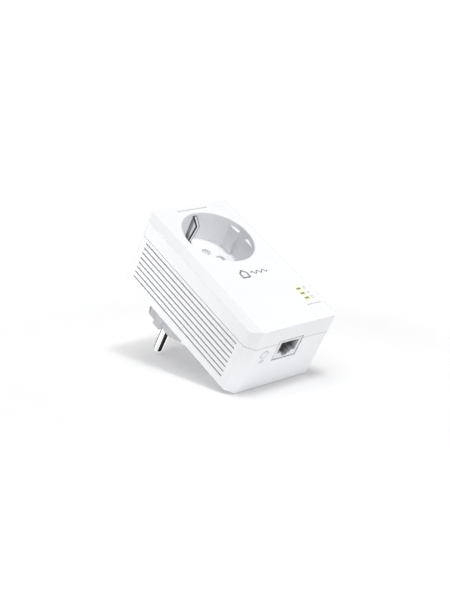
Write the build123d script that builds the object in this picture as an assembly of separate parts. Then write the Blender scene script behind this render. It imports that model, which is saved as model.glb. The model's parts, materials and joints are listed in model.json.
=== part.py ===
from build123d import *
import os

# Pass-through powerline adapter, upright as it sits in a wall socket.
# Millimetres. +Z up, +X to the right seen from the front, front face towards -Y,
# plug pins towards +Y. Origin: on the plug axis, in the plane of the rear face.

# ---- body ----
BODY_W = 58.2
BODY_H = 93.4
BODY_D = 40.2
AXIS_UP = 21.2              # plug and socket axis above the middle of the body
COVER_D = 11.1              # front face to the seam
WALL = 2.0
FRONT_T = 2.2               # thickness of the front face
FACET_X = 4.4               # corner facets of the octagonal outline
FACET_Z = 4.3
EDGE_R = 0.5                # softened outer edges
STRIP_X = 4.4               # bevel strips down both sides of the front face
STRIP_Y = 2.5
GROOVE = 0.4                # shadow groove at the seam
GROOVE_DEPTH = 0.7

# ---- socket ----
CUP_R = 19.5
CUP_R_FLOOR = 19.2
CUP_DEPTH = 17.2
CUP_WALL_R = 21.2
FLOOR_T = 1.8
HOLE_T = 1.1                # floor left in front of the shutter tabs
SINK_DEPTH = 0.6            # screw heads in the socket floor
RIB_FLAT = 16.9             # flat face of the guide ribs, from the axis
RIB_GAP = 3.05              # half the channel between a pair of ribs
RIB_TOP = 2.9               # ribs start this far below the rim
RIB_EDGE_R = 0.35
PIN_X = 9.5                 # half the pin spacing
SOCKET_HOLE_R = 2.6
SCREW_X, SCREW_Z = 4.9, 7.2
SINK_R = 2.4
CLIP_SLOT_HALF = 1.25       # slots that the earth clips reach through

# ---- plug ----
BOSS_R = 18.5
BOSS_D = 18.0
BOSS_FLAT = 16.0
BOSS_RIDGE = 2.8
BOSS_BORE = 13.8
BOSS_END_T = 3.5
FLANGE_R = 20.6             # flange that holds the boss behind the rear wall
FLANGE_BACK = -3.6
STRAP_SLOT_HALF = 3.1
EARTH_UP = 10.0             # earth hole above the plug axis
EARTH_BORE_R = 2.6
PIN_R = 2.4
PIN_L = 19.0
PIN_NECK_R = 2.0            # inside the boss and just outside its face
PIN_NECK_OUT = 0.3
PIN_BORE_R = 2.02
PIN_TIP_R = 1.9

# ---- vents, lights, port, button ----
SLOTS = 8
SLOT_PITCH = 3.02
SLOT_FIRST = 13.8           # from the front face
SLOT_W = 0.9
SLOT_LOW, SLOT_HIGH = -59.2, 17.8
LIGHT_X = 17.2
LIGHT_Z = (-46.2, -49.65, -53.1)
LIGHT_W, LIGHT_H = 3.0, 1.4
JACK_X = (-9.0, 7.1)
JACK_Y = (-30.6, -17.9)
JACK_L = 21.3
BUTTON_X, BUTTON_Y = -16.4, -23.7
BUTTON_R = 2.15
JACK_FIT = 0.15             # gap between the jack and both shells
MOUTH_HALF = 6.0            # plug opening, then its two latch steps
MOUTH_Y = (1.4, 8.2)
LATCH_STEPS = ((3.2, 8.0, 9.6), (1.9, 9.4, 11.0))

# ---- derived planes ----
FRONT = -BODY_D
SEAM = FRONT + COVER_D
TOP = BODY_H / 2 - AXIS_UP
BOTTOM = TOP - BODY_H
INSIDE_X = BODY_W / 2 - WALL
FLOOR = FRONT + CUP_DEPTH   # visible surface of the socket floor
CUP_BACK = FLOOR + FLOOR_T
POSTS = [(sx * 23.4, z) for sx in (-1, 1) for z in (17.5, -59.5)]
COLUMN_END = SEAM           # screw columns and cover posts meet here
COLUMN_R = 3.8
POST_R = 3.0
PILOT_R = 1.0
HEAD_WELL_R = 2.8
SHANK_HOLE_R = 1.35
PILOT_END = -36.8           # bottom of the screw holes in the posts
SEAT_T = 2.0                # column end that a screw head sits on

# ---- boards ----
MAIN_Y = (-32.3, -30.7)
POWER_Y = (-5.6, -4.0)
BOARD_HALF = 25.5
BOARD_Z = (-64.7, -22.6)
PEG_R = 1.6                 # cover pegs that the main board rests on
PEGS = ((-14.0, -27.0), (24.0, -27.0))
STUD_R = 1.8                # rear studs that the power board rests on
STUDS = ((-22.0, -49.0), (22.0, -49.0), (-22.0, -25.0), (22.0, -25.0))

# ---- inside of the rear shell ----
STIFFENER_Z = (-47.5, -33.0, -18.5, -4.0)
STIFFENER_T = 1.6
STIFFENER_D = 1.2
TONGUE = 2.0                # seam tongue reaching into the cover
TONGUE_IN = 3.1             # inner face of the tongue, from the outer form

# ---- shutter ----
POCKET = (-21.2, -15.6)
TAB_X = (6.95, 12.6)
TAB_HALF = 3.2
TAB_FRONT = -21.7
SHUTTER_LIFT = 5.9          # slides this far up when both pins push


def box(x, y, z):
    """Box between pairs of limits."""
    solid = Box(x[1] - x[0], y[1] - y[0], z[1] - z[0])
    return Pos((x[0] + x[1]) / 2, (y[0] + y[1]) / 2, (z[0] + z[1]) / 2) * solid


def slab(sketch, y0, y1):
    """Prism of an X-Z sketch between two Y planes."""
    return extrude(Plane.XZ.offset(-y1) * sketch, amount=y1 - y0)


def rod(r, y0, y1, x=0.0, z=0.0):
    """Cylinder along Y."""
    return slab(Pos(x, z) * Circle(r), y0, y1)


def tube(r_out, r_in, y0, y1, x=0.0, z=0.0):
    """Hollow cylinder along Y."""
    return slab(Pos(x, z) * (Circle(r_out) - Circle(r_in)), y0, y1)


def post(r, z0, z1, x, y):
    """Cylinder along Z."""
    return extrude(Plane.XY.offset(z0) * (Pos(x, y) * Circle(r)), amount=z1 - z0)


def across(points, x0, x1):
    """Prism along X of a Y-Z polygon."""
    face = make_face(Polyline([(y, z) for y, z in points], close=True))
    return extrude(Plane.YZ.offset(x0) * face, amount=x1 - x0)


def upright(points, z0, z1):
    """Prism along Z of an X-Y polygon."""
    face = make_face(Polyline(points, close=True))
    return extrude(Plane.XY.offset(z0) * face, amount=z1 - z0)


def strip(points, half_width, thickness):
    """Bent metal strip: a Y-Z centre line given width along X."""
    line = Polyline([(y, z) for y, z in points])
    face = trace(line, line_width=thickness)
    return extrude(Plane.YZ.offset(-half_width) * face, amount=2 * half_width)


def octagon(inset=0.0):
    """Sharp outline of the body in X-Z, drawn in by inset."""
    x = BODY_W / 2
    corners = []
    for sx, sz in ((1, 1), (-1, 1), (-1, -1), (1, -1)):
        z = TOP if sz > 0 else BOTTOM
        pair = [(sx * x, z - sz * FACET_Z), (sx * (x - FACET_X), z)]
        corners += pair if sx * sz > 0 else pair[::-1]
    shape = make_face(Polyline(corners, close=True))
    if inset:
        shape = offset(shape, amount=-inset, kind=Kind.INTERSECTION)
    return shape


def outline(inset=0.0):
    """The same outline with its corners softened."""
    shape = octagon(inset)
    return fillet(shape.vertices(), EDGE_R)


def soften(block):
    """Rounds every edge of a shell's outer form except those at the seam."""
    edges = [edge for edge in block.edges() if abs(edge.center().Y - SEAM) > 0.05]
    return fillet(edges, EDGE_R)


def bevel_cutters(inset=0.0):
    """Wedges that cut the bevel strips; a larger inset keeps the wall even."""
    x = BODY_W / 2 - inset
    y = FRONT + inset
    slope = STRIP_Y / STRIP_X
    wedges = []
    for s in (-1, 1):
        points = [
            (s * (x - STRIP_X), y),
            (s * (x + 3), y + slope * (STRIP_X + 3)),
            (s * (x + 3), y - 3),
            (s * (x - STRIP_X), y - 3),
        ]
        wedges.append(upright(points, BOTTOM - 1, TOP + 1))
    return wedges


def light_slots(y0, y1, grow=0.0):
    """Prisms of the three light windows."""
    return [
        box(
            (LIGHT_X - LIGHT_W / 2 - grow, LIGHT_X + LIGHT_W / 2 + grow),
            (y0, y1),
            (z - LIGHT_H / 2 - grow, z + LIGHT_H / 2 + grow),
        )
        for z in LIGHT_Z
    ]


def cup():
    """Socket cup with guide ribs, pin holes, clip slots and screw sinks."""
    body = rod(CUP_WALL_R, FRONT, CUP_BACK)
    recess = Cone(CUP_R, CUP_R_FLOOR, CUP_DEPTH)
    recess = Rot(X=-90) * recess
    body -= Pos(0, FRONT + CUP_DEPTH / 2, 0) * recess
    ring = rod(20.4, FRONT + RIB_TOP, FLOOR + 0.5)
    for sx in (-1, 1):
        for sz in (-1, 1):
            xs = sorted((sx * RIB_FLAT, sx * 21))
            zs = sorted((sz * RIB_GAP, sz * 12))
            rib = ring & box(xs, (FRONT, FLOOR + 0.5), zs)
            top_edges = rib.faces().sort_by(Axis.Y)[0].edges().filter_by(GeomType.LINE)
            body += fillet(top_edges, RIB_EDGE_R)
    for sx in (-1, 1):
        body -= rod(SOCKET_HOLE_R, FLOOR - 1, CUP_BACK + 1, sx * PIN_X)
        tab_room = sorted((sx * (TAB_X[0] - 0.45), sx * (TAB_X[1] + 0.5)))
        tab_rise = (-TAB_HALF - 0.15, TAB_HALF + SHUTTER_LIFT + 0.3)
        body -= box(tab_room, (FLOOR + HOLE_T, CUP_BACK + 1), tab_rise)
    for s in (-1, 1):
        slot = (-CLIP_SLOT_HALF, CLIP_SLOT_HALF)
        body -= box(slot, (FRONT + 2.0, CUP_BACK + 1), sorted((s * 18.4, s * 22)))
        body -= box(slot, (FLOOR - 0.5, CUP_BACK + 1), sorted((s * 15.2, s * 19)))
        body -= rod(SINK_R, FLOOR - 1, FLOOR + SINK_DEPTH, s * SCREW_X, s * SCREW_Z)
        body -= rod(1.15, FLOOR, CUP_BACK + 1, s * SCREW_X, s * SCREW_Z)
    return body


def cover_block():
    """Solid outer form of the front cover, bevelled down both sides."""
    block = slab(octagon(), FRONT, SEAM)
    for wedge in bevel_cutters():
        block -= wedge
    return soften(block)


def cover_hollow():
    """Room inside the front cover, following the bevels at wall thickness."""
    room = slab(outline(WALL), FRONT + FRONT_T, SEAM + 1)
    for wedge in bevel_cutters(WALL):
        room -= wedge
    return room


def front_cover():
    """Front shell with the socket cup, screw posts and board pegs."""
    shell = cover_block() - cover_hollow()
    shell -= rod(CUP_WALL_R - 0.5, FRONT - 1, SEAM)
    shell += cup()
    rim = [
        edge
        for edge in shell.edges().filter_by(GeomType.CIRCLE)
        if abs(edge.arc_center.Y - FRONT) < 0.01 and abs(edge.radius - CUP_R) < 0.01
    ]
    shell = fillet(rim, EDGE_R)
    for x, z in POSTS:
        shell += rod(POST_R, FRONT + WALL, COLUMN_END, x, z)
        shell -= rod(PILOT_R, PILOT_END, COLUMN_END + 1, x, z)
    for x, z in PEGS:
        shell += rod(PEG_R, FRONT + WALL, MAIN_Y[0], x, z)
    for slot in light_slots(FRONT - 1, FRONT + 4):
        shell -= slot
    jack_gap = box(
        (JACK_X[0] - JACK_FIT, JACK_X[1] + JACK_FIT),
        (JACK_Y[0] - JACK_FIT, SEAM + 1),
        (BOTTOM - 1, BOTTOM + WALL + 1),
    )
    return shell - jack_gap


def vents(side):
    """Eight long slots through one side wall."""
    x = sorted((side * (INSIDE_X - 0.05), side * (BODY_W / 2 + 1)))
    first = FRONT + SLOT_FIRST
    return [
        box(
            x,
            (first + i * SLOT_PITCH - SLOT_W / 2, first + i * SLOT_PITCH + SLOT_W / 2),
            (SLOT_LOW, SLOT_HIGH),
        )
        for i in range(SLOTS)
    ]


def boss_profile(r=BOSS_R, flat=BOSS_FLAT, ridge=BOSS_RIDGE):
    """Round plug outline with two side grooves either side of a ridge."""
    shape = Circle(r)
    for sx in (-1, 1):
        for sz in (-1, 1):
            shape -= Pos(sx * (flat + 5), sz * (ridge + 10)) * Rectangle(10, 20)
    return shape


def rear_housing():
    """Rear shell with the vents, plug seat, screw columns and seam tongue."""
    shell = soften(slab(octagon(), SEAM, 0))
    shell -= slab(outline(WALL), SEAM - 1, -WALL)
    groove = slab(outline(-1) - outline(GROOVE_DEPTH), SEAM - 1, SEAM + GROOVE)
    shell -= groove
    shell += slab(outline(WALL - 0.4) - outline(TONGUE_IN), SEAM, SEAM + 1.5)
    shell += slab(outline(WALL + 0.08) - outline(TONGUE_IN), SEAM - TONGUE, SEAM + 0.5)
    for side in (-1, 1):
        x = sorted((side * (INSIDE_X - STIFFENER_D), side * (INSIDE_X + 0.2)))
        for z in STIFFENER_Z:
            height = (z - STIFFENER_T / 2, z + STIFFENER_T / 2)
            shell += box(x, (SEAM + 1.5, -WALL), height)
    for x, z in POSTS:
        shell += rod(COLUMN_R, COLUMN_END, -WALL, x, z)
    for side in (-1, 1):
        for slot in vents(side):
            shell -= slot
    for x, z in POSTS:
        shell -= rod(HEAD_WELL_R, COLUMN_END + SEAT_T, 1, x, z)
        shell -= rod(SHANK_HOLE_R, COLUMN_END - 1, 1, x, z)
    shell -= slab(boss_profile(BOSS_R + 0.05, BOSS_FLAT + 0.05, BOSS_RIDGE + 0.05), -WALL - 1, 1)
    for s in (-1, 1):
        shell -= box((-3.2, 3.2), (-WALL - 1, 1), sorted((s * 16.0, s * 19.2)))
    for x, z in STUDS:
        shell += rod(STUD_R, POWER_Y[1], -WALL + 0.1, x, z)
    for x, z in POSTS:
        shell -= rod(POST_R + 0.1, SEAM - 3, COLUMN_END, x, z)
    jack_gap = box(
        (JACK_X[0] - JACK_FIT, JACK_X[1] + JACK_FIT),
        (SEAM - 4, JACK_Y[1] + JACK_FIT),
        (BOTTOM - 1, BOTTOM + WALL + 2),
    )
    shell -= jack_gap
    shell -= post(BUTTON_R + 0.08, BOTTOM - 1, BOTTOM + WALL + 1, BUTTON_X, BUTTON_Y)
    return shell


def plug_base():
    """Boss with its inner flange, side grooves, pin bores and earth hole."""
    base = slab(boss_profile(), -WALL, BOSS_D)
    base = chamfer(base.faces().sort_by(Axis.Y)[-1].edges(), 0.6)
    base += rod(FLANGE_R, FLANGE_BACK, -WALL)
    base -= rod(BOSS_BORE, -4, BOSS_D - BOSS_END_T)
    for s in (-1, 1):
        slot = (-STRAP_SLOT_HALF, STRAP_SLOT_HALF)
        base -= box(slot, (-4, BOSS_D + 1), sorted((s * 16.2, s * 21)))
        base -= rod(PIN_BORE_R, 0, BOSS_D + 1, s * PIN_X)
    base -= rod(EARTH_BORE_R, 0, BOSS_D + 1, 0, EARTH_UP)
    return base


def plug_pin(x):
    """Round pin with a domed tip, a neck in the boss, a collar and a riveting tail."""
    inner = BOSS_D - BOSS_END_T
    pin = rod(PIN_R, BOSS_D + PIN_NECK_OUT, BOSS_D + PIN_L, x)
    pin = fillet(pin.edges().sort_by(Axis.Y)[-1], PIN_TIP_R)
    pin += rod(PIN_NECK_R, inner, BOSS_D + PIN_NECK_OUT, x)
    pin += rod(3.1, inner - 2.0, inner, x)
    pin += rod(1.6, 9.4, inner - 1.0, x)
    return pin


def plug_earth_strap():
    """U-shaped strap lying in the top and bottom channels of the boss."""
    path = [(17.3, 17.3), (-5.0, 17.3), (-5.0, -17.3), (17.3, -17.3)]
    strap = strip(path, 2.75, 1.2)
    strap -= rod(1.25, -7, -3)
    return strap - rod(1.25, -7, -3, 0, EARTH_UP)


def earth_sleeve():
    """Female earth contact behind the hole in the plug face."""
    sleeve = tube(3.2, 2.5, 2.5, BOSS_D - BOSS_END_T, 0, EARTH_UP)
    sleeve += rod(3.2, 1.5, 2.5, 0, EARTH_UP)
    return sleeve + rod(1.2, -6.4, 1.5, 0, EARTH_UP)


def socket_earth_clips():
    """Bent bracket whose two arms reach up through the socket floor."""
    arm = [
        (FRONT + 5.0, 20.7),
        (FRONT + 2.9, 20.4),
        (FRONT + 2.7, 19.0),
        (FRONT + 5.7, 15.0),
        (FRONT + 17.2, 16.6),
        (-17.5, 16.9),
        (-13.5, 16.9),
    ]
    path = arm + [(y, -z) for y, z in reversed(arm)]
    clips = strip(path, 1.0, 0.8)
    clips += box((-2.4, 2.4), (-13.9, -13.1), (-15.5, 15.5))
    return clips - rod(1.25, -15, -12)


def earth_rivet():
    """Post that joins the socket clips to the plug strap."""
    pin = rod(2.2, -13.1, -5.6)
    return pin + rod(1.2, -14.0, -4.2)


def contact_carrier():
    """Insulator behind the socket floor: shutter pocket and contact towers."""
    block = slab(RectangleRounded(33.0, 26.8, 2.0), POCKET[0], -14.2)
    pocket = box((-15.2, 15.2), (POCKET[0] - 1, POCKET[1]), (-3.35, 9.35))
    spring_bay = box((-2.2, 2.2), (POCKET[0] - 1, POCKET[1]), (0, 12.2))
    block -= pocket + spring_bay
    block += rod(1.85, POCKET[0], POCKET[1] + 0.5, SCREW_X, SCREW_Z)
    for s in (-1, 1):
        x = s * PIN_X
        tower = slab(Pos(x, 0) * RectangleRounded(10.2, 10.2, 1.0), -14.4, -4.8)
        block += tower
        block -= slab(Pos(x, 0) * RectangleRounded(8.4, 8.4, 0.6), -13.6, -4)
        block -= rod(2.75, -16, -13, x)
        block -= box(sorted((s * 13.0, s * 15)), (-9.8, -4), (-2.0, 2.0))
        block -= rod(0.85, POCKET[0] - 1, -14.9, s * SCREW_X, s * SCREW_Z)
    return block


def socket_contact(side):
    """Split spring sleeve that grips one pin of the plugged-in appliance."""
    x = side * PIN_X
    ring = tube(3.1, 2.5, -13.4, -5.4, x)
    for s in (-1, 1):
        ring -= box((x - 0.5, x + 0.5), (-14, -7.4), sorted((0, s * 4)))
    flange = slab(Pos(x, 0) * (Rectangle(6.2, 7.8) - Circle(3.0)), -6.4, -5.4)
    return ring + flange


def busbar(side):
    """Strip from the plug pin inside the boss forward to the socket contact."""
    foot = box(sorted((side * 6.6, side * 13.4)), (10.0, 10.8), (-2.3, 2.3))
    foot -= rod(1.65, 9, 12, side * PIN_X)
    web = box(sorted((side * 12.62, side * 13.4)), (-9.4, 10.8), (-1.8, 1.8))
    return foot + web


def shutter():
    """Slider whose wedge tabs cover the pin holes and ride up when both are pushed."""
    back = POCKET[1] - 0.2
    ramp = [
        (TAB_FRONT, TAB_HALF),
        (back, TAB_HALF),
        (back, -TAB_HALF),
        (back - 0.6, -TAB_HALF),
        (TAB_FRONT, TAB_HALF - 1.2),
    ]
    slider = box((-TAB_X[0], TAB_X[0]), (back - 1.6, back), (-TAB_HALF, -0.8))
    slider += box((-2.0, 2.0), (POCKET[0] + 0.4, back), (-TAB_HALF, -0.8))
    for s in (-1, 1):
        slider += across(ramp, *sorted((s * TAB_X[0], s * TAB_X[1])))
    return slider


def coil(r, wire, y, z0, z1, turns):
    """Compression spring along Z with closed ends."""
    rise = (z1 - z0) - wire
    path = Pos(0, y, z0 + wire / 2) * Helix(pitch=rise / turns, height=rise, radius=r)
    section = Plane(origin=path @ 0, z_dir=path % 0) * Circle(wire / 2)
    return sweep(section, path=path, is_frenet=True)


def shutter_spring():
    """Compression spring between the shutter and the top of its pocket."""
    return coil(1.45, 0.4, -18.4, -0.75, 12.15, 7)


def screw(r_head, head_t, r_shank, length, y_seat, x, z, outwards):
    """Pan-head screw along Y; outwards is the side the head is on."""
    head = rod(r_head, *sorted((y_seat, y_seat + outwards * head_t)), x, z)
    far = head.edges().sort_by(Axis.Y)[-1 if outwards > 0 else 0]
    head = fillet(far, head_t * 0.35)
    top = y_seat + outwards * head_t
    slot = sorted((top + outwards, top - outwards * head_t * 0.45))
    long, short = 0.6 * r_head, 0.25 * r_head
    head -= box((x - short, x + short), slot, (z - long, z + long))
    head -= box((x - long, x + long), slot, (z - short, z + short))
    return head + rod(r_shank, *sorted((y_seat, y_seat - outwards * length)), x, z)


def socket_screws():
    """Two screws that hold the contact carrier to the socket floor."""
    return [
        screw(2.1, 0.6, 0.8, 7.0, FLOOR + SINK_DEPTH, s * SCREW_X, s * SCREW_Z, -1)
        for s in (-1, 1)
    ]


def case_screws():
    """Four long-necked screws that join the shells from behind."""
    return [screw(2.5, 1.8, 0.95, 8.5, COLUMN_END + SEAT_T, x, z, 1) for x, z in POSTS]


def board(y):
    """Board notched round the two lower screw posts."""
    plate = box((-BOARD_HALF, BOARD_HALF), y, BOARD_Z)
    for s in (-1, 1):
        plate -= box(sorted((s * 19.3, s * 26)), (y[0] - 1, y[1] + 1), (BOARD_Z[0] - 1, -55.2))
    return plate


def jack_shield():
    """Folded sheet shell round the jack body, open at the mouth."""
    z0 = BOTTOM + 0.2
    shell = box(JACK_X, JACK_Y, (z0, z0 + JACK_L))
    shell -= box(
        (JACK_X[0] + 0.3, JACK_X[1] - 0.3),
        (JACK_Y[0] + 0.3, JACK_Y[1] - 0.3),
        (z0 - 1, z0 + JACK_L - 0.3),
    )
    return shell


def jack_body():
    """Insulating block with the plug opening and its latch notch."""
    z0 = BOTTOM + 0.2
    x0, x1 = JACK_X[0] + 0.35, JACK_X[1] - 0.35
    y0, y1 = JACK_Y[0] + 0.35, JACK_Y[1] - 0.35
    mid = (x0 + x1) / 2
    block = box((x0, x1), (y0, y1), (z0, z0 + JACK_L - 0.4))
    depth = (z0 - 1, z0 + 14.0)
    for half, near, far in ((MOUTH_HALF, *MOUTH_Y), *LATCH_STEPS):
        block -= box((mid - half, mid + half), (y0 + near, y0 + far), depth)
    return block


def jack_contacts():
    """Eight sprung wires across the front side of the opening."""
    z0 = BOTTOM + 0.2
    y0 = JACK_Y[0] + 0.35
    mid = (JACK_X[0] + JACK_X[1]) / 2
    wires = []
    for i in range(8):
        x = mid + (i - 3.5) * 1.02
        wire = across(
            [
                (y0 + 1.45, z0 + 2.5),
                (y0 + 3.8, z0 + 10.5),
                (y0 + 3.4, z0 + 10.7),
                (y0 + 1.45, z0 + 4.0),
            ],
            x - 0.2,
            x + 0.2,
        )
        wires.append(wire)
    return wires


def pair_button():
    """Push button in the bottom face with an inner flange and stem."""
    cap = post(BUTTON_R, BOTTOM - 0.3, BOTTOM + WALL + 0.6, BUTTON_X, BUTTON_Y)
    cap = fillet(cap.edges().sort_by(Axis.Z)[0], 0.3)
    cap += post(BUTTON_R + 0.9, BOTTOM + WALL + 0.05, BOTTOM + WALL + 0.9, BUTTON_X, BUTTON_Y)
    return cap + post(1.2, BOTTOM + WALL, BOTTOM + 4.4, BUTTON_X, BUTTON_Y)


def pair_switch_body():
    """Switch on the main board behind the button."""
    z0 = BOTTOM + 5.0
    x = (BUTTON_X - 3.1, BUTTON_X + 3.1)
    body = box(x, (MAIN_Y[1], BUTTON_Y + 3.0), (z0, z0 + 4.0))
    return body - post(1.55, z0 - 1, z0 + 1.4, BUTTON_X, BUTTON_Y)


def pair_switch_plunger():
    """Switch plunger that rides with the button."""
    return post(1.4, BOTTOM + 4.4, BOTTOM + 5.8, BUTTON_X, BUTTON_Y)


def light_pipe():
    """Clear moulding: three windows on one backing bar."""
    bar = box((LIGHT_X - 2.2, LIGHT_X + 2.2), (-37.9, -36.6), (LIGHT_Z[2] - 1.4, LIGHT_Z[0] + 1.4))
    for slot in light_slots(FRONT + 0.05, -37.0, -0.04):
        bar += slot
    for z in LIGHT_Z:
        bar += box((LIGHT_X - 0.9, LIGHT_X + 0.9), (-37.0, -33.4), (z - 0.5, z + 0.5))
    return bar


def diodes():
    """Three indicator diodes behind the light moulding."""
    return [
        box((LIGHT_X - 0.8, LIGHT_X + 0.8), (-33.2, MAIN_Y[0]), (z - 0.45, z + 0.45))
        for z in LIGHT_Z
    ]


def heat_sink():
    """Finned block on the modem chip."""
    base = box((-22.0, -10.0), (-29.4, -28.2), (-44.0, -32.0))
    for i in range(6):
        x = -21.6 + i * 2.16
        base += box((x - 0.4, x + 0.4), (-28.4, -24.6), (-44.0, -32.0))
    return base


def chip(x, z, w, h, t):
    """Chip package on the rear side of the main board."""
    return box((x - w / 2, x + w / 2), (MAIN_Y[1], MAIN_Y[1] + t), (z - h / 2, z + h / 2))


def crystal():
    """Oval metal can with a rounded top."""
    can = slab(Pos(16.5, -32.0) * RectangleRounded(4.6, 10.5, 2.2), MAIN_Y[1], MAIN_Y[1] + 3.2)
    return fillet(can.edges().group_by(Axis.Y)[-1], 0.4)


def coupling_transformer():
    """Small cored transformer with its winding."""
    core = box((12.0, 20.0), (-30.7, -23.7), (-47.5, -39.5))
    core -= box((11, 21), (-28.9, -25.5), (-45.6, -41.4))
    return core + box((13.2, 18.8), (-28.6, -25.8), (-46.2, -40.8))


def power_transformer():
    """Larger cored transformer with its winding."""
    core = box((-8.0, 8.0), (-16.6, -6.2), (-45.0, -30.0))
    core -= box((-9, 9), (-14.2, -8.6), (-42.4, -32.6))
    coil_block = box((-6.4, 6.4), (-16.9, -5.7), (-41.9, -33.1))
    return core + coil_block


def bulk_capacitors():
    """Two electrolytic cans with rounded tops."""
    cans = []
    for x, z in ((-18.0, -33.0), (-18.0, -44.0)):
        can = rod(4.9, -16.5, POWER_Y[0], x, z)
        cans.append(fillet(can.edges().sort_by(Axis.Y)[0], 0.7))
    return cans


def power_block(x, z, depth):
    """Boxy component standing on the front of the power board."""
    return box(x, (POWER_Y[0] - depth, POWER_Y[0]), z)


def choke():
    """Ring core standing on a base."""
    body = tube(5.6, 2.6, -13.0, -7.0, 17.5, -48.0)
    return body + box((11.5, 23.5), (-7.0, POWER_Y[0]), (-52.6, -43.4))


def fuse():
    """Cylinder fuse on two legs."""
    body = extrude(Plane.YZ.offset(-6.0) * (Pos(-8.4, -50.5) * Circle(2.2)), amount=12.0)
    for x in (-5.0, 5.0):
        body += box((x - 0.3, x + 0.3), (-8.4, POWER_Y[0]), (-50.8, -50.2))
    return body


def varistor():
    """Coated disc on a leg."""
    disc = extrude(Plane.YZ.offset(-11.5) * (Pos(-10.8, -58.5) * Circle(5.0)), amount=3.6)
    return disc + box((-10.0, -9.4), (-8.0, POWER_Y[0]), (-60.5, -56.5))


def rectifier():
    """Flat bridge block on the power board."""
    return box((-5.0, 5.0), (-8.8, POWER_Y[0]), (-62.0, -56.0))


def wire(points, ends, r=0.6):
    """Round insulated wire along a smooth path."""
    path = Spline(points, tangents=ends)
    section = Plane(origin=path @ 0, z_dir=path % 0) * Circle(r)
    return sweep(section, path=path)


def mains_wires():
    wires = []
    for s in (-1, 1):
        points = [
            (s * 13.45, -7.2, 0),
            (s * 18.0, -8.6, -10.0),
            (s * 16.0, -5.65, -25.6),
        ]
        wires.append(wire(points, ((s, 0, 0), (0, 1, 0)), 0.7))
    return wires


def board_link():
    """Header that joins the two boards."""
    link = box((21.4, 24.0), (MAIN_Y[1], -28.2), (-41.0, -31.0))
    link += box((21.4, 24.0), (-8.2, POWER_Y[0]), (-41.0, -31.0))
    for i in range(4):
        z = -32.25 - i * 2.54
        link += box((22.4, 23.0), (-28.4, -8.0), (z - 0.3, z + 0.3))
    return link


def rating_label():
    """Film label on the rear face."""
    return slab(Pos(0, -43.0) * RectangleRounded(38.0, 34.0, 1.5), 0.0, 0.12)


def main():
    """Writes each sub-part to its own file."""
    os.makedirs("parts", exist_ok=True)
    parts = {
        "front_cover": front_cover(),
        "rear_housing": rear_housing(),
        "plug_base": plug_base(),
        "plug_pin_live": plug_pin(-PIN_X),
        "plug_pin_neutral": plug_pin(PIN_X),
        "plug_earth_strap": plug_earth_strap(),
        "earth_sleeve": earth_sleeve(),
        "socket_earth_clips": socket_earth_clips(),
        "earth_rivet": earth_rivet(),
        "contact_carrier": contact_carrier(),
        "socket_contact_live": socket_contact(-1),
        "socket_contact_neutral": socket_contact(1),
        "busbar_live": busbar(-1),
        "busbar_neutral": busbar(1),
        "shutter": shutter(),
        "shutter_spring": shutter_spring(),
        "socket_screws": Compound(children=socket_screws()),
        "case_screws": Compound(children=case_screws()),
        "main_board": board(MAIN_Y),
        "power_board": board(POWER_Y),
        "jack_shield": jack_shield(),
        "jack_body": jack_body(),
        "jack_contacts": Compound(children=jack_contacts()),
        "pair_button": pair_button(),
        "pair_switch_body": pair_switch_body(),
        "pair_switch_plunger": pair_switch_plunger(),
        "light_pipe": light_pipe(),
        "indicator_diodes": Compound(children=diodes()),
        "modem_chip": chip(-16.0, -38.0, 11.0, 11.0, 1.3),
        "heat_sink": heat_sink(),
        "memory_chip": chip(-1.0, -33.0, 10.0, 6.0, 1.0),
        "crystal": crystal(),
        "ethernet_magnetics": chip(5.0, -41.5, 12.0, 7.0, 4.0),
        "coupling_transformer": coupling_transformer(),
        "power_transformer": power_transformer(),
        "bulk_capacitors": Compound(children=bulk_capacitors()),
        "x_capacitor": power_block((9.4, 18.9), (-63.8, -54.0), 9.0),
        "mains_choke": choke(),
        "fuse": fuse(),
        "varistor": varistor(),
        "bridge_rectifier": rectifier(),
        "mains_wires": Compound(children=mains_wires()),
        "board_link": board_link(),
        "rating_label": rating_label(),
    }
    for name, shape in parts.items():
        shape.label = name
        export_step(shape, f"parts/{name}.step")


if __name__ == "__main__":
    main()
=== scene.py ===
import json
import math

import bmesh
import bpy
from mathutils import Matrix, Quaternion, Vector

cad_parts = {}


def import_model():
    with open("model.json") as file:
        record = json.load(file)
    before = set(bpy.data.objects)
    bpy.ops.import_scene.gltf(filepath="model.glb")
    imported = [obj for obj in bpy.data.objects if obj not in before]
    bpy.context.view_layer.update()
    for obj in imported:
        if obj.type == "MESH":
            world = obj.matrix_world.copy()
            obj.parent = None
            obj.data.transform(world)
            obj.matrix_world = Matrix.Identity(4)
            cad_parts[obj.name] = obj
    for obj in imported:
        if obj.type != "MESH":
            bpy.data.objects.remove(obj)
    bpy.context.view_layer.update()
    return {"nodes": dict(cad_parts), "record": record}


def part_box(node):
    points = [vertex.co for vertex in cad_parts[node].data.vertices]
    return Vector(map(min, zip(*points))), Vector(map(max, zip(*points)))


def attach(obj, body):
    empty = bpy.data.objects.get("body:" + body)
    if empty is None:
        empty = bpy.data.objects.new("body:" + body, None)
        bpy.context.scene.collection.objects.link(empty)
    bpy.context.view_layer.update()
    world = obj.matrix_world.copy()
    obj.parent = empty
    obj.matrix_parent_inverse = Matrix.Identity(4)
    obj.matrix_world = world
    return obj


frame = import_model()

MM = 0.001
NODES = frame["nodes"]


# ---------------------------------------------------------------- material nodes

# The part of a noise value's range that its texture really fills.
NOISE_SPAN = (0.3, 0.7)
TONE_SPAN = (0.35, 0.65)


def shader_of(name):
    """A new material with its Principled shader."""
    material = bpy.data.materials.new(name)
    material.use_nodes = True
    return material, material.node_tree, material.node_tree.nodes["Principled BSDF"]


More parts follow.
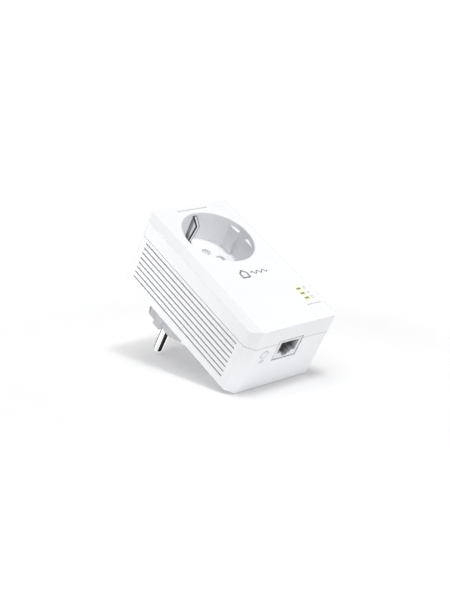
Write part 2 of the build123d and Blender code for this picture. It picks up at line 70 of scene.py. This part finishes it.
def object_place(tree):
    """The object's own coordinates, in metres."""
    return tree.nodes.new("ShaderNodeTexCoord").outputs["Object"]


def noise(tree, scale, detail=3.0, stretch=None):
    """Noise over the object's own coordinates; stretch draws it out along an axis."""
    place = object_place(tree)
    if stretch:
        mapping = tree.nodes.new("ShaderNodeMapping")
        mapping.inputs["Scale"].default_value = stretch
        tree.links.new(place, mapping.inputs["Vector"])
        place = mapping.outputs["Vector"]
    texture = tree.nodes.new("ShaderNodeTexNoise")
    texture.inputs["Scale"].default_value = scale
    texture.inputs["Detail"].default_value = detail
    tree.links.new(place, texture.inputs["Vector"])
    return texture.outputs["Fac"]


def map_range(tree, value, span, low=0.0, high=1.0, smooth=False):
    """Maps a value's span onto the range from low to high."""
    node = tree.nodes.new("ShaderNodeMapRange")
    if smooth:
        node.interpolation_type = "SMOOTHSTEP"
    node.inputs["From Min"].default_value = span[0]
    node.inputs["From Max"].default_value = span[1]
    node.inputs["To Min"].default_value = low
    node.inputs["To Max"].default_value = high
    tree.links.new(value, node.inputs["Value"])
    return node.outputs["Result"]


def arithmetic(tree, operation, *values):
    """One arithmetic operation on the given values."""
    node = tree.nodes.new("ShaderNodeMath")
    node.operation = operation
    for i, value in enumerate(values):
        tree.links.new(value, node.inputs[i])
    return node.outputs["Value"]


def distance_to(tree, point):
    """Distance between the shaded point and a fixed one, in metres."""
    node = tree.nodes.new("ShaderNodeVectorMath")
    node.operation = "DISTANCE"
    node.inputs[1].default_value = point
    tree.links.new(object_place(tree), node.inputs[0])
    return node.outputs["Value"]


def two_tone(tree, value, low, high):
    """Maps a noise value onto two close colours."""
    ramp = tree.nodes.new("ShaderNodeValToRGB")
    for element, position, colour in zip(ramp.color_ramp.elements, TONE_SPAN, (low, high)):
        element.position = position
        element.color = (*colour, 1)
    tree.links.new(value, ramp.inputs["Fac"])
    return ramp.outputs["Color"]


def grain(tree, shader, value, depth, strength=0.3):
    """Fine relief from a noise value; depth in metres."""
    bump = tree.nodes.new("ShaderNodeBump")
    bump.inputs["Strength"].default_value = strength
    bump.inputs["Distance"].default_value = depth
    tree.links.new(value, bump.inputs["Height"])
    tree.links.new(bump.outputs["Normal"], shader.inputs["Normal"])


def tint(tree, shader, amount, colour):
    """Mixes another colour over the shader's own by an amount from 0 to 1."""
    mix = tree.nodes.new("ShaderNodeMix")
    mix.data_type = "RGBA"
    factor, own, other = mix.inputs[0], mix.inputs[6], mix.inputs[7]
    other.default_value = (*colour, 1)
    tree.links.new(amount, factor)
    tree.links.new(shader.inputs["Base Color"].links[0].from_socket, own)
    tree.links.new(mix.outputs[2], shader.inputs["Base Color"])


def mix_shaders(tree, amount, first, second):
    """Mixes two shaders by an amount from 0 to 1."""
    mix = tree.nodes.new("ShaderNodeMixShader")
    tree.links.new(amount, mix.inputs["Fac"])
    tree.links.new(first, mix.inputs[1])
    tree.links.new(second, mix.inputs[2])
    return mix.outputs["Shader"]


def shade(colour, factor):
    """A colour made darker or lighter."""
    return tuple(min(1.0, c * factor) for c in colour)


# ---------------------------------------------------------------- materials

FLOW_SCALE = 60
STAIN_SCALE = 140
STAIN_TONE = 0.9
METAL_GRAIN = 0.2
ALONG_Y = (1, 0.05, 1)

WHITE = (0.89, 0.895, 0.915)
BOSS_WHITE = (0.84, 0.845, 0.87)
PORT_WHITE = (0.8, 0.805, 0.83)
# Painted light: the colour of the glow round the lit windows, and how far it reaches.
PAINTED_GLOW = (0.93, 1.0, 0.62)
PAINTED_GLOW_REACH = (0.5 * MM, 3.6 * MM)
# Painted shade inside the port: the depths over which it darkens, and its dark colour.
PORT_SHADE_DEPTH = (-67.5 * MM, -64.5 * MM)
PORT_PAINTED_SHADE = (0.2, 0.2, 0.21)
CLIP_EDGE = (0.5 * MM, 0.68 * MM)
CLIP_DARK = (0.03, 0.03, 0.032)
# Painted light: strength of the white emission that lifts the shade on the shutter.
SHUTTER_PAINTED_LIGHT = 0.3


def moulded(name, colour, rough=(0.38, 0.46), texture=2600, relief=0.012, tone=0.985):
    """Injection-moulded plastic: spark-eroded texture, faint flow variation."""
    material, tree, shader = shader_of(name)
    flow = noise(tree, FLOW_SCALE, 2)
    fine = noise(tree, texture, 4)
    colours = two_tone(tree, flow, shade(colour, tone), colour)
    tree.links.new(colours, shader.inputs["Base Color"])
    tree.links.new(map_range(tree, fine, NOISE_SPAN, *rough), shader.inputs["Roughness"])
    grain(tree, shader, fine, relief * MM)
    return material


def metal(name, colour, rough=(0.12, 0.2), lines=(1, 1, 1), scale=900, relief=0.004):
    """Plated or rolled metal with drawing lines along one axis."""
    material, tree, shader = shader_of(name)
    shader.inputs["Metallic"].default_value = 1.0
    stain = noise(tree, STAIN_SCALE, 3)
    drawn = noise(tree, scale, 3, lines)
    colours = two_tone(tree, stain, shade(colour, STAIN_TONE), colour)
    tree.links.new(colours, shader.inputs["Base Color"])
    tree.links.new(map_range(tree, drawn, NOISE_SPAN, *rough), shader.inputs["Roughness"])
    grain(tree, shader, drawn, relief * MM, METAL_GRAIN)
    return material


MATERIALS = {
    "white_shell": moulded("white_shell", WHITE),
    "plug_plastic": moulded("plug_plastic", BOSS_WHITE, (0.3, 0.4), 1800, 0.008),
    "nickel_pin": metal("nickel_pin", (0.86, 0.86, 0.87), (0.05, 0.1), ALONG_Y),
    "spring_steel": metal("spring_steel", (0.62, 0.62, 0.63), (0.16, 0.26), ALONG_Y),
    "brass_inner": metal("brass_inner", (0.78, 0.62, 0.32), (0.2, 0.32)),
    "grey_insulator": moulded("grey_insulator", (0.62, 0.62, 0.65)),
    "shutter_plastic": moulded("shutter_plastic", (0.93, 0.935, 0.95)),
    "zinc_screw": metal("zinc_screw", (0.86, 0.865, 0.88), (0.35, 0.5)),
    "board_green": moulded("board_green", (0.03, 0.18, 0.07), (0.25, 0.35), 500, 0.01, 0.8),
    "port_plastic": moulded("port_plastic", PORT_WHITE, (0.3, 0.4)),
    "black_insulator": moulded("black_insulator", (0.025, 0.025, 0.028)),
    "gold_contact": metal("gold_contact", (0.85, 0.68, 0.3), (0.12, 0.2)),
    "button_plastic": moulded("button_plastic", BOSS_WHITE, (0.3, 0.38)),
    "clear_window": moulded("clear_window", (0.3, 0.33, 0.2), (0.2, 0.3)),
    "diode_lens": moulded("diode_lens", (0.5, 0.75, 0.3), (0.15, 0.25)),
    "chip_black": moulded("chip_black", (0.03, 0.03, 0.032), (0.45, 0.6)),
    "heat_sink": metal("heat_sink", (0.5, 0.5, 0.52), (0.35, 0.5)),
    "can_metal": metal("can_metal", (0.7, 0.7, 0.72), (0.2, 0.3)),
    "ferrite": moulded("ferrite", (0.06, 0.055, 0.055), (0.5, 0.65)),
    "capacitor_sleeve": moulded("capacitor_sleeve", (0.02, 0.03, 0.09), (0.2, 0.3)),
    "capacitor_case": moulded("capacitor_case", (0.75, 0.55, 0.08), (0.35, 0.45)),
    "fuse_body": moulded("fuse_body", (0.5, 0.42, 0.3), (0.4, 0.5)),
    "varistor_coat": moulded("varistor_coat", (0.03, 0.12, 0.4), (0.3, 0.45)),
    "wire_insulation": moulded("wire_insulation", (0.35, 0.12, 0.04), (0.35, 0.45)),
    "label_film": moulded("label_film", (0.75, 0.76, 0.78), (0.25, 0.35), 1200, 0.004),
}


def window_centres():
    """Centres of the three light windows, from the clear moulding's own faces on the front."""
    mesh = NODES["light_pipe"].data
    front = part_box("light_pipe")[0].y
    skin = 0.2 * MM
    points = [v.co for v in mesh.vertices if v.co.y < front + skin]
    levels = sorted({round(p.z / MM, 2) for p in points})
    x = (min(p.x for p in points) + max(p.x for p in points)) / 2
    return [Vector((x, front, (a + b) / 2 * MM)) for a, b in zip(levels[::2], levels[1::2])]


def shell_with_painted_glow():
    """The shell plastic, with painted light: a glow tinted into its colour where the lit
    windows shine through it from behind.
    """
    material = moulded("front_shell", WHITE)
    tree = material.node_tree
    nearest, *others = [distance_to(tree, centre) for centre in window_centres()]
    for gap in others:
        nearest = arithmetic(tree, "MINIMUM", nearest, gap)
    amount = map_range(tree, nearest, PAINTED_GLOW_REACH, 1.0, 0.0, smooth=True)
    tint(tree, tree.nodes["Principled BSDF"], amount, PAINTED_GLOW)
    return material


def coordinate(tree, axis):
    """One of the object's own coordinates, in metres."""
    split = tree.nodes.new("ShaderNodeSeparateXYZ")
    tree.links.new(object_place(tree), split.inputs[0])
    return split.outputs[axis]


def port_with_painted_shade():
    """White at the mouth of the port, with painted shade that darkens it further in."""
    material = moulded("port_painted_shade", PORT_WHITE, (0.3, 0.4))
    tree = material.node_tree
    amount = map_range(tree, coordinate(tree, "Z"), PORT_SHADE_DEPTH)
    tint(tree, tree.nodes["Principled BSDF"], amount, PORT_PAINTED_SHADE)
    return material


def edged_clip():
    """Sprung clip metal, darker along its two cut edges."""
    material = metal("clip_metal", (0.7, 0.7, 0.71), (0.14, 0.24), ALONG_Y)
    tree = material.node_tree
    off_centre = arithmetic(tree, "ABSOLUTE", coordinate(tree, "X"))
    amount = map_range(tree, off_centre, CLIP_EDGE)
    tint(tree, tree.nodes["Principled BSDF"], amount, CLIP_DARK)
    return material


def dress_nodes():
    """Gives every CAD node the material of its slot, and three nodes one of their own."""
    slot_of = {p["node"]: p["material_slot"] for p in frame["record"]["subparts"]}
    for name, node in NODES.items():
        node.data.materials.clear()
        node.data.materials.append(MATERIALS[slot_of[name]])
    # The front cover's own material carries a painted glow round its windows.
    NODES["front_cover"].data.materials[0] = shell_with_painted_glow()
    # The jack body's own material carries painted shade deep in its port.
    NODES["jack_body"].data.materials[0] = port_with_painted_shade()
    NODES["socket_earth_clips"].data.materials[0] = edged_clip()
    # The shutter lies deep behind the pin holes, where the photo shows hardly any shade.
    # A faint white emission paints light on it, lifting the shade it would have there.
    shutter = MATERIALS["shutter_plastic"].node_tree.nodes["Principled BSDF"]
    shutter.inputs["Emission Color"].default_value = (1, 1, 1, 1)
    shutter.inputs["Emission Strength"].default_value = SHUTTER_PAINTED_LIGHT


dress_nodes()

# ---------------------------------------------------------------- printed marks

FRONT_Y = -40.2 * MM
BOTTOM_Z = -67.9 * MM
LABEL_Y = 0.12 * MM
INK_T = 0.03 * MM
INK_SINK = -0.2 * INK_T
SHARPEST_MITRE = 0.5
INK = moulded("grey_ink", (0.17, 0.175, 0.185), (0.5, 0.6), 2600, 0.002, 0.97)
PALE_INK = moulded("pale_ink", (0.45, 0.46, 0.48), (0.5, 0.6), 2600, 0.002, 0.97)

# Plane points and widths of the marks are in millimetres.
TOP_RULE = {"x0": -10.6, "x1": 9.1, "y": 22.2, "length": 1.1, "gap": 0.45, "width": 0.7}
LOW_RULE = {"x0": 13.7, "x1": 23.1, "y": -57.6, "length": 1.3, "gap": 0.5, "width": 0.6}
HOUSE = [(-8.0, -31.6), (-8.0, -28.4), (-5.8, -26.4), (-3.6, -28.4), (-3.6, -31.6)]
HOUSE_LINE = 0.9
WAVE_START, WAVE_STEP, WAVE_POINTS, WAVE_HALF = -1.2, 0.25, 43, 7
WAVE_Y, WAVE_HEIGHT, WAVE_LINE = -29.3, 1.0, 0.6
SIGN_X, SIGN_LINE = 21.1, 0.3
POWER_Y, POWER_R, POWER_STROKE = -46.3, 0.75, (-46.2, -45.2)
BAR_GAP, BAR_BASE, BAR_TOP, BAR_RISE, BAR_LINE = 0.7, -50.4, -49.7, 0.35, 0.36
PORT_SIGN_HALF, PORT_SIGN_LOW, PORT_SIGN_HIGH = 0.8, -53.8, -52.4
PAIR_CENTRE, PAIR_GAP, PAIR_R, PAIR_LINE = (-16.4, -19.3), 0.55, 0.85, 0.26
BUTTON_CENTRE, BUTTON_RING_R, BUTTON_RING_LINE = (-16.4, -23.7), 2.4, 0.22
LABEL_HALF, LABEL_LOW, LABEL_HIGH, LABEL_LINE = 17.4, -58.4, -27.6, 0.25
FIELD_HALF, FIELD_LEVELS, FIELD_LINE = 17.2, (-36.0, -50.0), 0.2


def band(points, width, closed=False):
    """Left and right edges of a line of even width through plane points."""
    count = len(points)
    left, right = [], []
    for i, point in enumerate(points):
        before = points[i - 1] if i or closed else None
        after = points[(i + 1) % count] if i + 1 < count or closed else None
        ways = []
        if before is not None:
            ways.append((point - before).normalized())
        if after is not None:
            ways.append((after - point).normalized())
        way = sum(ways, Vector((0, 0))).normalized()
        out = Vector((-way.y, way.x))
        reach = width / 2 / max(SHARPEST_MITRE, way.dot(ways[0]))
        left.append(point + out * reach)
        right.append(point - out * reach)
    return left, right


def raise_quads(mesh, quads, place):
    """Adds each quad of plane points as a thin raised plate; place turns points into space."""
    for quad in quads:
        low = [mesh.verts.new(place(p, INK_SINK)) for p in quad]
        top = [mesh.verts.new(place(p, INK_T)) for p in quad]
        mesh.faces.new(top)
        mesh.faces.new(low[::-1])
        for i in range(4):
            j = (i + 1) % 4
            mesh.faces.new((low[i], low[j], top[j], top[i]))


def lines(mesh, points, width, place, closed=False):
    """A drawn line as a chain of thin plates that share their mitred ends."""
    left, right = band([Vector(p) * MM for p in points], width * MM, closed)
    count = len(left)
    last = count if closed else count - 1
    chain = [
        (left[i], right[i], right[(i + 1) % count], left[(i + 1) % count]) for i in range(last)
    ]
    raise_quads(mesh, chain, place)


def ring_points(x, y, r, start=0, end=360, steps=24):
    """Points of an arc; a full ring leaves out its repeated last point."""
    count = steps if end - start >= 360 else steps + 1
    turn = math.radians(end - start) / steps
    angles = [math.radians(start) + i * turn for i in range(count)]
    return [(x + r * math.cos(a), y + r * math.sin(a)) for a in angles]


def dashes(mesh, place, x0, x1, y, length, gap, width):
    """A row of short strokes."""
    x = x0
    while x < x1:
        lines(mesh, [(x, y), (min(x + length, x1), y)], width, place)
        x += length + gap


def printed(name, draw, place, ink):
    """One printed piece: draw fills the mesh, and the piece rides on the case."""
    mesh = bmesh.new()
    draw(mesh, place)
    bmesh.ops.recalc_face_normals(mesh, faces=mesh.faces)
    data = bpy.data.meshes.new(name)
    mesh.to_mesh(data)
    mesh.free()
    data.materials.append(ink)
    piece = bpy.data.objects.new(name, data)
    bpy.context.scene.collection.objects.link(piece)
    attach(piece, "case")


def on_front(p, up):
    """A plane point on the front face, raised by up."""
    return Vector((p.x, FRONT_Y - up, p.y))


def on_bottom(p, up):
    """A plane point on the bottom face, raised by up."""
    return Vector((p.x, p.y, BOTTOM_Z - up))


def on_label(p, up):
    """A plane point on the rear label, raised by up."""
    return Vector((p.x, LABEL_Y + up, p.y))


def top_rule(mesh, place):
    """A row of dashes above the socket."""
    dashes(mesh, place, **TOP_RULE)


def house_and_wave(mesh, place):
    """A plain house outline and a mains wave beside it."""
    lines(mesh, HOUSE, HOUSE_LINE, place, closed=True)
    wave = [
        (WAVE_START + i * WAVE_STEP, WAVE_Y + WAVE_HEIGHT * math.sin(i * math.pi / WAVE_HALF))
        for i in range(WAVE_POINTS)
    ]
    lines(mesh, wave, WAVE_LINE, place)


def light_signs(mesh, place):
    """Power, link and port signs beside the three windows, with a short rule below."""
    x = SIGN_X
    lines(mesh, ring_points(x, POWER_Y, POWER_R, 125, 415), SIGN_LINE, place)
    lines(mesh, [(x, y) for y in POWER_STROKE], SIGN_LINE, place)
    for i, dx in enumerate((-BAR_GAP, 0.0, BAR_GAP)):
        bar = [(x + dx, BAR_BASE), (x + dx, BAR_TOP + i * BAR_RISE)]
        lines(mesh, bar, BAR_LINE, place)
    left, right = x - PORT_SIGN_HALF, x + PORT_SIGN_HALF
    low, high = PORT_SIGN_LOW, PORT_SIGN_HIGH
    port = [(left, low), (right, low), (right, high), (left, high)]
    lines(mesh, port, SIGN_LINE, place, closed=True)
    dashes(mesh, place, **LOW_RULE)


def pair_sign(mesh, place):
    """Two linked rings beside the pair button, and a ring round the button."""
    x, y = PAIR_CENTRE
    for dx in (-PAIR_GAP, PAIR_GAP):
        lines(mesh, ring_points(x + dx, y, PAIR_R, steps=20), PAIR_LINE, place, closed=True)
    ring = ring_points(*BUTTON_CENTRE, BUTTON_RING_R)
    lines(mesh, ring, BUTTON_RING_LINE, place, closed=True)


def label_frame(mesh, place):
    """Hairline frame round the blank rating label and two field rules."""
    half, low, high = LABEL_HALF, LABEL_LOW, LABEL_HIGH
    outline = [(-half, low), (half, low), (half, high), (-half, high)]
    lines(mesh, outline, LABEL_LINE, place, closed=True)
    for z in FIELD_LEVELS:
        lines(mesh, [(-FIELD_HALF, z), (FIELD_HALF, z)], FIELD_LINE, place)


for mark in (
    ("print_top_rule", top_rule, on_front, PALE_INK),
    ("print_house_wave", house_and_wave, on_front, INK),
    ("print_light_signs", light_signs, on_front, PALE_INK),
    ("print_pair_sign", pair_sign, on_bottom, PALE_INK),
    ("print_label_frame", label_frame, on_label, PALE_INK),
):
    printed(*mark)

# ---------------------------------------------------------------- stage

# The adapter rests on its lower rear edge and on its pins' ends.
FLOOR_TOUCH = Vector((0, 0, BOTTOM_Z))
PIN_TOUCH = Vector((0, 37.0 * MM, -2.4 * MM))
ALONG = (PIN_TOUCH - FLOOR_TOUCH).normalized()
SIDE = Vector((1, 0, 0))
FLOOR_NORMAL = ALONG.cross(-SIDE)
CORNERS = ((-1, -1), (1, -1), (1, 1), (-1, 1))

# Lengths are in metres here, except the camera's lens and sensor, in millimetres.
FLOOR_HALF = 1.2
FLOOR_FADE = (0.11, 0.2)
PAPER_TONES = ((0.9, 0.9, 0.9), (0.91, 0.91, 0.91))
AMBIENT_COLOUR, AMBIENT = (0.985, 0.99, 1.0, 1), 0.3
PURE_WHITE = (1, 1, 1, 1)
SEEN_WHITE, MIRRORED_WHITE = 1.05, 1.1

CAMERA_TURN, CAMERA_HEIGHT, CAMERA_ROLL = (math.radians(a) for a in (-48.96, -29.81, -42.45))
CAMERA_TARGET = Vector((-9.4, -24.9, -26.3)) * MM
CAMERA_DISTANCE = 0.6275
CAMERA_LENS, CAMERA_SENSOR = 77.0, 36.0

FLAG_BLACK = (0.01, 0.01, 0.01, 1)
FLAG_TARGET = Vector((-9.5, 28, 0)) * MM
FLAG_DISTANCE = 0.4

LIGHT_TARGET = Vector((0, -0.02, -0.02))
LIGHT_DISTANCE, CLOSE_DISTANCE = 0.9, 0.3
SMALL, BROAD, SKY, CLOSE = 0.22, 0.6, 1.0, 0.2


def flat_square(name, corners):
    """A four-cornered sheet linked into the scene."""
    mesh = bpy.data.meshes.new(name)
    mesh.from_pydata(corners, [], [(0, 1, 2, 3)])
    sheet = bpy.data.objects.new(name, mesh)
    bpy.context.scene.collection.objects.link(sheet)
    return sheet


def floor():
    """Pale paper that fades out round the object and lets views through from below."""
    plane = flat_square("studio_floor", [
        FLOOR_TOUCH + SIDE * FLOOR_HALF * across + ALONG * FLOOR_HALF * along
        for across, along in CORNERS
    ])
    mesh = plane.data
    if mesh.polygons[0].normal.dot(FLOOR_NORMAL) < 0:
        mesh.flip_normals()
    material, tree, shader = shader_of("studio_paper")
    tones = two_tone(tree, noise(tree, 40, 3), *PAPER_TONES)
    tree.links.new(tones, shader.inputs["Base Color"])
    shader.inputs["Roughness"].default_value = 0.9
    shader.inputs["Specular IOR Level"].default_value = 0.1
    clear = tree.nodes.new("ShaderNodeBsdfTransparent").outputs["BSDF"]
    from_below = tree.nodes.new("ShaderNodeNewGeometry").outputs["Backfacing"]
    reach = distance_to(tree, (FLOOR_TOUCH + PIN_TOUCH) / 2)
    faded = map_range(tree, reach, FLOOR_FADE, smooth=True)
    hidden = arithmetic(tree, "MAXIMUM", from_below, faded)
    paper = mix_shaders(tree, hidden, shader.outputs["BSDF"], clear)
    tree.links.new(paper, tree.nodes["Material Output"].inputs["Surface"])
    mesh.materials.append(material)
    plane.visible_glossy = False
    return plane


def world():
    """White to the camera and in reflections, and a dim even light on everything else."""
    sky = bpy.data.worlds.new("studio")
    sky.use_nodes = True
    tree = sky.node_tree

    def backdrop(node, colour, strength):
        node.inputs["Color"].default_value = colour
        node.inputs["Strength"].default_value = strength
        return node.outputs["Background"]

    ambient = backdrop(tree.nodes["Background"], AMBIENT_COLOUR, AMBIENT)
    mirrored = backdrop(tree.nodes.new("ShaderNodeBackground"), PURE_WHITE, MIRRORED_WHITE)
    seen = backdrop(tree.nodes.new("ShaderNodeBackground"), PURE_WHITE, SEEN_WHITE)
    path = tree.nodes.new("ShaderNodeLightPath").outputs
    unseen = mix_shaders(tree, path["Is Glossy Ray"], ambient, mirrored)
    surface = mix_shaders(tree, path["Is Camera Ray"], unseen, seen)
    tree.links.new(surface, tree.nodes["World Output"].inputs["Surface"])
    bpy.context.scene.world = sky


def camera():
    """The photo's viewpoint, fitted to the box's straight edges."""
    back = Vector((
        math.sin(CAMERA_TURN) * math.cos(CAMERA_HEIGHT),
        -math.cos(CAMERA_TURN) * math.cos(CAMERA_HEIGHT),
        math.sin(CAMERA_HEIGHT),
    ))
    data = bpy.data.cameras.new("camera")
    data.lens = CAMERA_LENS
    data.sensor_width = CAMERA_SENSOR
    data.clip_start, data.clip_end = 0.01, 20
    cam = bpy.data.objects.new("camera", data)
    cam.location = CAMERA_TARGET + back * CAMERA_DISTANCE
    cam.rotation_mode = "QUATERNION"
    roll = Quaternion((0, 0, 1), CAMERA_ROLL)
    cam.rotation_quaternion = (-back).to_track_quat("-Z", "Y") @ roll
    bpy.context.scene.collection.objects.link(cam)
    bpy.context.scene.camera = cam


def flag(name, direction, width):
    """Black square card seen only in reflections; it gives bright metal its dark stripes."""
    half = width / 2
    card = flat_square(name, [(half * across, half * along, 0) for across, along in CORNERS])
    toward = Vector(direction).normalized()
    card.location = FLAG_TARGET + toward * FLAG_DISTANCE
    card.rotation_mode = "QUATERNION"
    card.rotation_quaternion = toward.to_track_quat("Z", "Y")
    material, _, shader = shader_of(name)
    shader.inputs["Base Color"].default_value = FLAG_BLACK
    shader.inputs["Roughness"].default_value = 1.0
    card.data.materials.append(material)
    card.visible_camera = False
    card.visible_diffuse = False
    card.visible_shadow = False
    card.visible_transmission = False


def softbox(name, direction, size, power, distance=LIGHT_DISTANCE):
    """Round area light that shines on the object from a direction in the shared frame."""
    lamp = bpy.data.lights.new(name, "AREA")
    lamp.shape = "DISK"
    lamp.size = size
    lamp.energy = power
    light = bpy.data.objects.new(name, lamp)
    toward = direction.normalized()
    light.location = LIGHT_TARGET + toward * distance
    light.rotation_mode = "QUATERNION"
    light.rotation_quaternion = (-toward).to_track_quat("-Z", "Y")
    bpy.context.scene.collection.objects.link(light)
    return light


def linked(name, state, things):
    """Collection that makes a light take in or leave out some objects."""
    group = bpy.data.collections.new(name)
    for i, thing in enumerate(things):
        group.objects.link(thing)
        group.collection_objects[i].light_linking.link_state = state
    return group


def lights(ground):
    """A small key and broad fills, with one set for the object and one for the floor."""
    up = FLOOR_NORMAL
    object_only = linked("object_only", "EXCLUDE", [ground])
    # The photo's boss is darker than its shells, so fills from the left and below skip it.
    shells_only = linked("shells_only", "EXCLUDE", [ground, NODES["plug_base"]])
    floor_only = linked("floor_only", "INCLUDE", [ground])
    through_floor = linked("through_floor", "EXCLUDE", [ground])
    left_top, under = Vector((-1, 0.6, 0.8)), Vector((-0.25, -0.1, -1))
    face, rear = Vector((0.1, -1, 0)), Vector((0.7, 0.8, 0.6))
    for light, receivers, blockers in (
        (softbox("key_front", up - 0.35 * ALONG, SMALL, 1.4), object_only, None),
        (softbox("fill_left", -SIDE + ALONG + 0.05 * up, BROAD, 2.6), shells_only, None),
        (softbox("fill_left_top", left_top, CLOSE, 0.23, CLOSE_DISTANCE), shells_only, None),
        (softbox("fill_front", -ALONG + 0.25 * up, BROAD, 1.6), object_only, None),
        (softbox("fill_face", face, SMALL, 3.7), object_only, None),
        (softbox("fill_under", under, BROAD, 1.5), shells_only, through_floor),
        (softbox("fill_rear", rear, BROAD, 2.2), object_only, through_floor),
        (softbox("floor_key", up - 0.4 * ALONG - 0.1 * SIDE, SMALL, 2.6), floor_only, None),
        (softbox("floor_sky", up - 0.05 * ALONG - 0.15 * SIDE, SKY, 4.6), floor_only, None),
        (softbox("floor_left", -SIDE + 0.3 * up, BROAD, 0.7), floor_only, None),
        (softbox("floor_right", SIDE + 0.25 * up, BROAD, 1.6), floor_only, None),
        (softbox("floor_back", ALONG + 0.4 * up, BROAD, 1.2), floor_only, None),
    ):
        light.light_linking.receiver_collection = receivers
        if blockers:
            light.light_linking.blocker_collection = blockers


paper_floor = floor()
world()
lights(paper_floor)
flag("dark_flag_low", (0.265, 0.57, -0.777), 0.75)
flag("dark_flag_high", (0.19, 0.57, 0.8), 0.28)
camera()
bpy.context.scene.view_settings.view_transform = "Standard"
